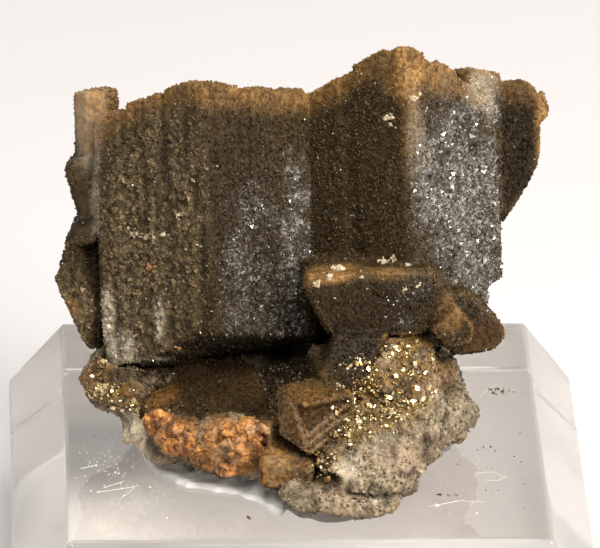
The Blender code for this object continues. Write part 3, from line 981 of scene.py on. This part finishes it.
def make_putty():
    """A thin film of putty that runs out past the rock at the front left, where its rim is white,
    and rises to the rock inside."""
    pad, _ = read_points(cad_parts["mounting_putty"].data)
    middle = pad.mean(axis=0)[:2]
    foot = pad[pad[:, 2] < pad[:, 2].mean(), :2] - middle
    outward = np.array(PUTTY_RIM) - middle
    turn = 2.0 * math.pi
    angles = np.linspace(0.0, turn, PUTTY_SIDES, endpoint=False)
    directions = np.stack((np.cos(angles), np.sin(angles)), axis=1)
    # How far the pad of the CAD reaches in each direction, and then how far the white rim does.
    reach = np.interp(angles, np.arctan2(foot[:, 1], foot[:, 0]), np.linalg.norm(foot, axis=1), period=turn)
    rim = np.concatenate((middle + directions * reach[:, None], np.zeros((PUTTY_SIDES, 1))), axis=1)
    bearing = np.arctan2(outward[:, 1], outward[:, 0]) % turn
    outward = np.interp(angles, bearing, np.linalg.norm(outward, axis=1), left=0.0, right=0.0)
    reach = np.maximum(reach - PUTTY_CUT, outward)
    reach += 0.3 * waves(rim / 2.6, seed=81) + 0.3 * waves(rim / 0.8, seed=82)
    # Rings from the inside out to the rim, which lie the closer together the nearer they are to it.
    top, white = [], []
    for inward in (1.0 - np.linspace(0.0, 1.0, PUTTY_RINGS)) ** 2:
        ring = np.zeros((PUTTY_SIDES, 3))
        away = 0.55 * reach * inward
        ring[:, :2] = middle + directions * (reach - away)[:, None]
        strands = fade(waves(ring / 0.55, seed=83), 0.3, 0.7)
        white.append(shown(ring, PUTTY_WHITE) * np.maximum(fade(away, 1.9, 0.9), 0.8 * strands))
        ring[:, 2] = 0.05 + PUTTY_LIP * fade(away, -0.1, 0.35) + PUTTY_HEIGHT * fade(away, 0.9, 3.0)
        ring[:, 2] *= 1.0 + 0.45 * waves(ring / 0.9, seed=84) * fade(away, 0.0, 0.4)
        top.append(ring)
    bottom = top[-1] * (1.0, 1.0, 0.0) + (0.0, 0.0, 0.02)
    mesh = mesh_from("putty", np.concatenate((*top, bottom)), ring_faces(PUTTY_SIDES, PUTTY_RINGS + 1))
    add_values(mesh, white=np.concatenate((*white, white[-1])))
    add_piece("putty", mesh, putty_material(), replaces="mounting_putty", smooth=True)


def ring_faces(sides, rings):
    """Faces between rings of points, with the first and the last ring filled."""
    faces = [tuple(range(sides)), tuple(reversed(range((rings - 1) * sides, rings * sides)))]
    for ring in range(rings - 1):
        for side in range(sides):
            here, following = ring * sides + side, ring * sides + (side + 1) % sides
            faces.append((following, here, here + sides, following + sides))
    return faces


def make_dust():
    """Specks of rock on the block's top: pale ones at the left, dark ones at the right."""
    chance = np.random.default_rng(19)
    kinds = (("pale_dust", PALE_DUST, dust_material()), ("dark_dust", DARK_DUST, rock_material()))
    for name, heaps, material in kinds:
        specks = []
        for middle, reach, count, size in heaps:
            for _ in range(count):
                place = middle + chance.normal(0.0, 0.5, 2) * reach
                specks.append((*place, DUST_HEIGHT, size * math.exp(0.45 * chance.normal())))
        specks = np.array(specks)
        specks = specks[np.abs(specks[:, :2]).max(axis=1) < BLOCK_HALF - BEVEL_RUN - DUST_EDGE]
        facing = np.tile((0.0, 0.0, 1.0), (len(specks), 1))
        corners, faces = rhombs(specks[:, :3], facing, specks[:, 3], 0.15, 0.3, chance)
        piece = joined(corners, faces, tone=0.25 * chance.random(len(specks)))
        add_piece(name, piece, material)


def make_scratches():
    """Hairline scratches, each a low ridge with a pointed section."""
    points, faces = [], []
    for scratch in SCRATCHES:
        line = np.array(scratch)
        faces += [tuple(len(points) + corner for corner in face) for face in ring_faces(3, len(line))]
        for index, place in enumerate(line):
            way = unit(line[min(index + 1, len(line) - 1)] - line[max(index - 1, 0)])
            aside = 0.5 * SCRATCH_WIDTH * np.array((-way[1], way[0]))
            points.append((*(place - aside), SCRATCH_LOW))
            points.append((*(place + aside), SCRATCH_LOW))
            points.append((*place, SCRATCH_HIGH))
    add_piece("scratches", mesh_from("scratches", points, faces), dust_material())


def make_block():
    """The clear block, with its edges slightly rounded."""
    shape = bmesh.new()
    rings = []
    for reach, height in ((BLOCK_HALF, FOOT), (BLOCK_HALF, -BEVEL_DROP), (BLOCK_HALF - BEVEL_RUN, 0.0)):
        corners = in_frame([(x * reach, y * reach, height) for x, y in SQUARE])
        rings.append([shape.verts.new(corner) for corner in corners])
    shape.faces.new(reversed(rings[0]))
    for lower, upper in zip(rings, rings[1:]):
        for side in range(4):
            following = (side + 1) % 4
            shape.faces.new((lower[side], lower[following], upper[following], upper[side]))
    shape.faces.new(rings[-1])
    edges = shape.edges[:]
    bmesh.ops.bevel(shape, geom=edges, offset=ROUNDING * MM, segments=3, affect="EDGES", profile=0.6)
    mesh = mesh_of(shape, "block")
    add_piece("clear_block", mesh, block_material("clear_plastic", 0.0),
              replaces="display_block")
    mesh.materials.append(frosted_material())
    for face in mesh.polygons:
        if face.normal.z < -0.9:
            face.material_index = 1


def new_material(name):
    material = bpy.data.materials.new(name)
    material.use_nodes = True
    return material, material.node_tree


def finished(material, inputs):
    """A material with its shader's inputs set or linked."""
    for name, value in inputs.items():
        plug(material.node_tree.nodes["Principled BSDF"], name, value)
    return material


def plug(node, name, value):
    """Links a node's input to a value that is another node's output, or sets it."""
    socket = node.inputs[name]
    if isinstance(value, bpy.types.NodeSocket):
        node.id_data.links.new(value, socket)
    elif socket.type == "RGBA":
        socket.default_value = (*value, 1.0)
    else:
        socket.default_value = value


def add_node(tree, kind, output, inputs, **settings):
    """The output of a new node."""
    node = tree.nodes.new("ShaderNode" + kind)
    for name, value in settings.items():
        setattr(node, name, value)
    for name, value in inputs.items():
        plug(node, name, value)
    return node.outputs[output]


def noise(tree, per_mm, detail=2.0, roughness=0.5):
    """A noise texture fixed to the specimen, with so many features per millimetre."""
    place = add_node(tree, "TexCoord", "Object", {})
    inputs = {"Vector": place, "Scale": per_mm / MM, "Detail": detail, "Roughness": roughness}
    return add_node(tree, "TexNoise", "Fac", inputs)


def value_of(tree, name):
    return add_node(tree, "Attribute", "Fac", {}, attribute_name=name)


def mixed(tree, factor, first, second):
    """A colour between two colours."""
    return add_node(tree, "Mix", 2, {0: factor, 6: first, 7: second}, data_type="RGBA")


def spread(tree, value, low, high, to_low=0.0, to_high=1.0):
    """A value from low to high, spread from one number to another."""
    inputs = {"Value": value, "From Min": low, "From Max": high, "To Min": to_low, "To Max": to_high}
    return add_node(tree, "MapRange", "Result", inputs)


def times(tree, first, second):
    return add_node(tree, "Math", 0, {0: first, 1: second}, operation="MULTIPLY")


def over(tree, colour, name, upper, share=1.0):
    """A colour with another over it, as strongly as the points' named number says."""
    return mixed(tree, times(tree, value_of(tree, name), share), colour, upper)


def bump(tree, height, distance, strength):
    inputs = {"Height": height, "Distance": distance * MM, "Strength": strength}
    return add_node(tree, "Bump", "Normal", inputs)


def siderite_material():
    material, tree = new_material("siderite")
    tone = value_of(tree, "tone")
    speck = spread(tree, noise(tree, 2.6, detail=4.0), 0.35, 0.65)
    colour = mixed(tree, tone, (0.013, 0.0078, 0.003), (0.098, 0.064, 0.029))
    colour = over(tree, colour, "olive", mixed(tree, tone, (0.052, 0.035, 0.016), (0.37, 0.275, 0.145)))
    colour = over(tree, colour, "tan", mixed(tree, speck, (0.09, 0.038, 0.008), (0.31, 0.155, 0.045)))
    # A painted glow: a warm, light colour that stands for light shining through the thin edges.
    colour = over(tree, colour, "glow", mixed(tree, speck, (0.125, 0.06, 0.016), (0.38, 0.208, 0.072)))
    # Painted sheen: a lighter grey that stands for light glinting off the crystals' faces.
    painted_grey = mixed(tree, tone, (0.036, 0.03, 0.023), (0.16, 0.141, 0.112))
    colour = over(tree, colour, "painted_sheen", painted_grey, 0.85)
    colour = over(tree, colour, "pale", mixed(tree, tone, (0.4, 0.335, 0.23), (0.85, 0.755, 0.57)))
    # Painted shade in the grooves of the growth steps.
    colour = over(tree, colour, "groove_shade", (0.024, 0.011, 0.004), 0.85)
    return finished(material, {
        # Painted shade in recesses and on faces turned down, with some of the crystals' own darker brown.
        "Base Color": over(tree, colour, "dark", (0.0096, 0.0052, 0.0018), 0.85),
        "Roughness": spread(tree, value_of(tree, "painted_sheen"), 0.0, 1.0, 0.48, 0.3),
        "Specular IOR Level": 0.12,
        "Subsurface Weight": times(tree, value_of(tree, "glow"), 0.35),
        "Subsurface Radius": (1.0, 0.45, 0.15),
        "Subsurface Scale": 0.6 * MM,
        "Normal": bump(tree, noise(tree, 6.0), 0.03, 0.5),
    })


def sheen_material():
    """The same mineral for its glossy small crystals, with a painted grey sheen where the faces glint."""
    material, tree = new_material("siderite_painted_sheen")
    tone = value_of(tree, "tone")
    colour = mixed(tree, tone, (0.032, 0.021, 0.0096), (0.096, 0.068, 0.036))
    # Painted sheen: a lighter grey that stands for light glinting off the faces.
    colour = over(tree, colour, "painted_sheen", mixed(tree, tone, (0.022, 0.019, 0.014), (0.35, 0.315, 0.265)))
    colour = over(tree, colour, "glow", (0.272, 0.168, 0.076))
    return finished(material, {
        "Base Color": over(tree, colour, "pale", (0.44, 0.368, 0.264)),
        "Roughness": 0.22,
        "IOR": 1.85,
        "Normal": bump(tree, noise(tree, 6.0), 0.03, 0.4),
    })


def fleck_material():
    material, tree = new_material("flecks")
    speck = noise(tree, 4.0)
    pale = mixed(tree, speck, (0.336, 0.272, 0.16), (0.64, 0.544, 0.376))
    return finished(material, {
        "Base Color": over(tree, pale, "tone", (0.368, 0.16, 0.06)),
        "Roughness": 0.45,
        "Normal": bump(tree, speck, 0.04, 0.5),
    })


def dust_material():
    material, tree = new_material("dust")
    colour = mixed(tree, noise(tree, 4.0), (0.62, 0.58, 0.52), (0.88, 0.86, 0.83))
    return finished(material, {"Base Color": colour, "Roughness": 0.4})


def rock_material():
    """Grey rock with darker, rosy and pale grains, stained or covered in places, and painted dark as
    shade in its hollows.
    """
    material, tree = new_material("rock")
    tone = value_of(tree, "tone")
    speck = noise(tree, 2.6, detail=5.0, roughness=0.7)
    cloud = spread(tree, noise(tree, 0.35), 0.45, 0.65, 0.0, 0.55)
    flush = spread(tree, noise(tree, 0.3, detail=3.0), 0.52, 0.66, 0.0, 0.4)
    colour = mixed(tree, spread(tree, speck, 0.34, 0.64), (0.06, 0.042, 0.021), (0.385, 0.3, 0.186))
    colour = mixed(tree, cloud, colour, (0.15, 0.142, 0.098))
    colour = mixed(tree, flush, colour, (0.4, 0.265, 0.18))
    colour = mixed(tree, spread(tree, tone, 0.7, 1.0, 0.0, 0.65), colour, (0.64, 0.545, 0.405))
    colour = mixed(tree, spread(tree, tone, 0.0, 0.3, 0.9, 0.0), colour, (0.022, 0.017, 0.01))
    brown = mixed(tree, spread(tree, speck, 0.38, 0.66), (0.036, 0.016, 0.004), (0.27, 0.14, 0.04))
    golden = mixed(tree, spread(tree, speck, 0.36, 0.66), (0.032, 0.014, 0.0034), (0.29, 0.16, 0.042))
    golden = mixed(tree, spread(tree, tone, 0.0, 0.4, 0.8, 0.0), golden, (0.026, 0.013, 0.0036))
    golden = mixed(tree, spread(tree, tone, 0.86, 1.0, 0.0, 0.5), golden, (0.56, 0.4, 0.19))
    umber = mixed(tree, speck, (0.016, 0.0088, 0.0032), (0.068, 0.038, 0.014))
    straw = mixed(tree, spread(tree, speck, 0.35, 0.65), (0.6, 0.48, 0.32), (0.96, 0.86, 0.67))
    covers = (("stain", brown), ("gold", golden), ("umber", umber), ("yellow", straw),
              ("crust", orange_colour(tree, speck)))
    for name, cover in covers:
        colour = over(tree, colour, name, cover)
    return finished(material, {
        # Painted shade in the hollows.
        "Base Color": over(tree, colour, "hollow", (0.014, 0.008, 0.0036), 0.85),
        "Roughness": 0.58,
        "Specular IOR Level": 0.25,
        "Normal": bump(tree, noise(tree, 5.0, detail=3.0), 0.05, 0.8),
    })


def orange_colour(tree, speck):
    return mixed(tree, spread(tree, speck, 0.36, 0.64), (0.17, 0.056, 0.011), (0.64, 0.3, 0.088))


def brass_material():
    material, tree = new_material("brass_mineral")
    return finished(material, {
        "Base Color": mixed(tree, value_of(tree, "tone"), (0.5, 0.36, 0.15), (0.9, 0.76, 0.48)),
        "Metallic": 1.0,
        "Roughness": 0.28,
        "Normal": bump(tree, noise(tree, 8.0), 0.01, 0.3),
    })


def crust_material():
    material, tree = new_material("orange_crust")
    speck = noise(tree, 1.6, detail=4.0, roughness=0.6)
    pale = mixed(tree, speck, (0.48, 0.24, 0.088), (0.704, 0.496, 0.288))
    light = spread(tree, value_of(tree, "tone"), 0.75, 1.0, 0.0, 0.8)
    colour = mixed(tree, light, orange_colour(tree, speck), pale)
    return finished(material, {
        # Painted shade in the crevices between the knobs.
        "Base Color": over(tree, colour, "hollow", (0.06, 0.022, 0.007), 0.8),
        "Roughness": 0.5,
        "Specular IOR Level": 0.35,
        "Subsurface Weight": 0.3,
        "Subsurface Radius": (1.0, 0.4, 0.1),
        "Subsurface Scale": 0.5 * MM,
        "Normal": bump(tree, noise(tree, 5.0, detail=3.0), 0.04, 0.6),
    })


def putty_material():
    material, tree = new_material("putty")
    white = value_of(tree, "white")
    cloud = spread(tree, noise(tree, 0.8, detail=3.0), 0.3, 0.7)
    return finished(material, {
        "Base Color": mixed(tree, cloud, (0.9, 0.88, 0.85), (0.98, 0.97, 0.96)),
        "Roughness": spread(tree, white, 0.0, 1.0, 0.12, 0.35),
        "Transmission Weight": spread(tree, white, 0.0, 0.7, 0.85, 0.0),
        "IOR": 1.45,
        "Normal": bump(tree, noise(tree, 1.2, detail=3.0), 0.08, 0.4),
    })


def block_material(name, roughness):
    """Clear plastic with faint scuffs."""
    material, tree = new_material(name)
    scuff = noise(tree, 0.9, detail=6.0, roughness=0.7)
    inputs = {"Color": (0.8, 0.74, 0.7), "Density": 3.0}
    plug(tree.nodes["Material Output"], "Volume", add_node(tree, "VolumeAbsorption", "Volume", inputs))
    return finished(material, {
        "Base Color": PLASTIC_TINT,
        "Roughness": spread(tree, scuff, 0.5, 0.8, roughness, roughness + 0.12),
        "Transmission Weight": 1.0,
        "IOR": 1.49,
        "Normal": bump(tree, noise(tree, 0.12, detail=1.0), 0.4, 0.15),
    })


def frosted_material():
    """The block's underside: frosted and milky, the more so at its left, with a patch of painted grey
    shade there, so that the block looks pale from above."""
    material = block_material("frosted_plastic", 0.08)
    tree = material.node_tree
    # Painted shade: the underside is greyer in this patch.
    painted_grey = spread(tree, patch_at(tree, *PAINTED_SHADE_PATCH), 0.0, 0.6)
    return finished(material, {
        "Base Color": mixed(tree, painted_grey, PLASTIC_TINT, (0.56, 0.54, 0.53)),
        "Transmission Weight": spread(tree, patch_at(tree, *MILKY_PATCH), 0.0, 0.6, 0.5, 0.0),
    })


def patch_at(tree, middle, reach):
    """A value of 1 at the middle of an ellipsoid that falls to 0 at its surface."""
    moved = add_node(tree, "Mapping", 0, {
        "Vector": add_node(tree, "TexCoord", "Object", {}),
        "Location": [-a / b for a, b in zip(middle, reach)],
        "Scale": [1.0 / (b * MM) for b in reach],
    })
    return add_node(tree, "TexGradient", "Fac", {"Vector": moved}, gradient_type="SPHERICAL")


def add_floor():
    """A wide pale floor, level with the block's underside."""
    corners = [(x * FLOOR_REACH, y * FLOOR_REACH, FOOT - FLOOR_GAP) for x, y in SQUARE]
    mesh = mesh_from("floor", corners, [(0, 1, 2, 3)])
    floor = new_object("floor", mesh)
    material, tree = new_material("floor")
    colour = mixed(tree, noise(tree, 0.02), (0.62, 0.598, 0.596), (0.65, 0.628, 0.625))
    mesh.materials.append(finished(material, {"Base Color": colour, "Roughness": 0.9}))


def add_area(name, place, size, watts, colour):
    """A square soft light, its place and size in millimetres, aimed at the specimen."""
    light = bpy.data.lights.new(name, "AREA")
    light.size = size * MM
    light.energy = watts
    light.color = colour
    lamp = new_object(name, light)
    lamp.location = Vector(in_frame(place))
    aim = Vector(in_frame(LIGHTS_AIM)) - lamp.location
    lamp.rotation_euler = aim.to_track_quat("-Z", "Y").to_euler()


def add_lights():
    """Three soft lights, and a sky that is dimmer in front of the specimen than behind it."""
    world = bpy.data.worlds.new("studio")
    world.use_nodes = True
    tree = world.node_tree
    way = add_node(tree, "SeparateXYZ", "Y", {0: add_node(tree, "TexCoord", "Generated", {})})
    plug(tree.nodes["Background"], "Color", (1.0, 0.985, 0.97))
    plug(tree.nodes["Background"], "Strength", spread(tree, way, -0.3, 0.5, 0.16, 1.0))
    bpy.context.scene.world = world
    add_area("key", (255.0, -280.0, 290.0), 130.0, 2.3, (1.0, 0.96, 0.91))
    add_area("side", (400.0, -190.0, 40.0), 110.0, 0.6, (1.0, 0.98, 0.96))
    add_area("top", (30.0, -200.0, 500.0), 380.0, 2.7, (1.0, 0.97, 0.93))
    bpy.context.scene.view_settings.view_transform = "Standard"


main()
